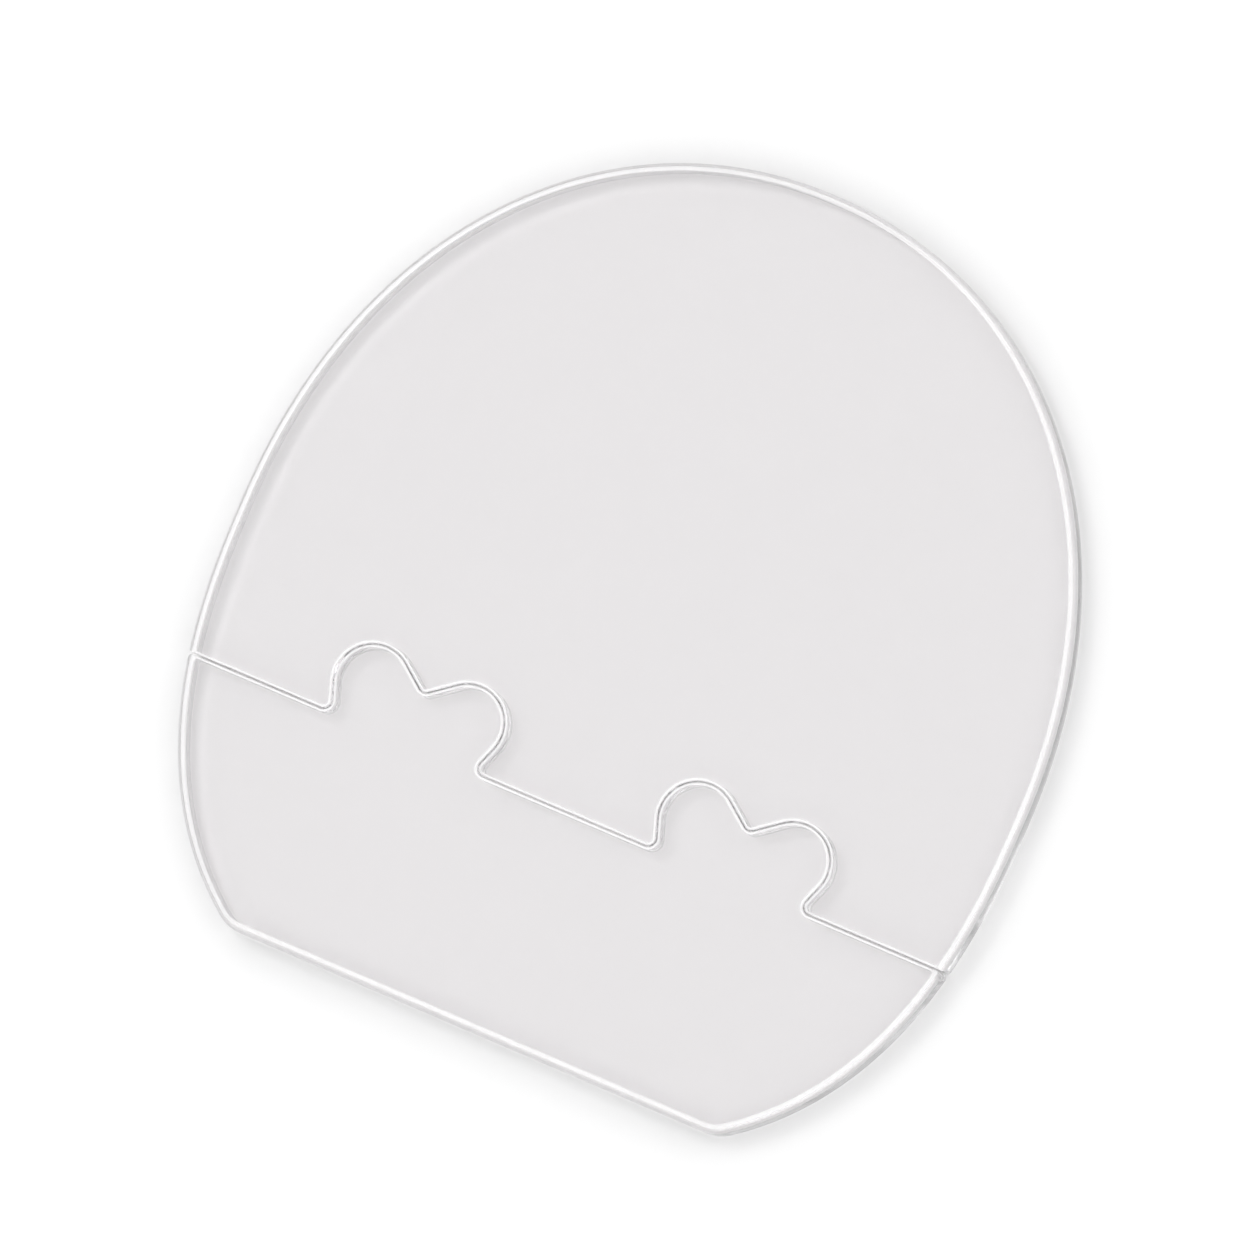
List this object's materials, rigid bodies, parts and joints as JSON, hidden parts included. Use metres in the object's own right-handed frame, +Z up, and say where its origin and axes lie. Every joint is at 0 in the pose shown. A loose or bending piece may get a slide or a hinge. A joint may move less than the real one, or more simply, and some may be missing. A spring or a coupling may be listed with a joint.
{
  "type": "french curve",
  "caption": "Clear acrylic curve template, an oval with a straight base edge, in two panels joined by lobed jigsaw tabs.",
  "frame": {"origin": "middle of the underside of the whole plate", "axes": "+X along the straight base edge, +Y from the base edge towards the crown, +Z up out of the face"},
  "size_m": [0.14, 0.1466, 0.006],
  "materials": {
    "clear_acrylic": "polished clear cast acrylic"
  },
  "bodies": {
    "upper": {"upper_panel": "clear_acrylic"},
    "lower": {"lower_panel": "clear_acrylic"}
  },
  "joints": [
    {"name": "lower_panel_lift", "type": "slide", "parent": "upper", "child": "lower", "axis": [0, 0, 1], "range_m": [0, 0.03]}
  ]
}
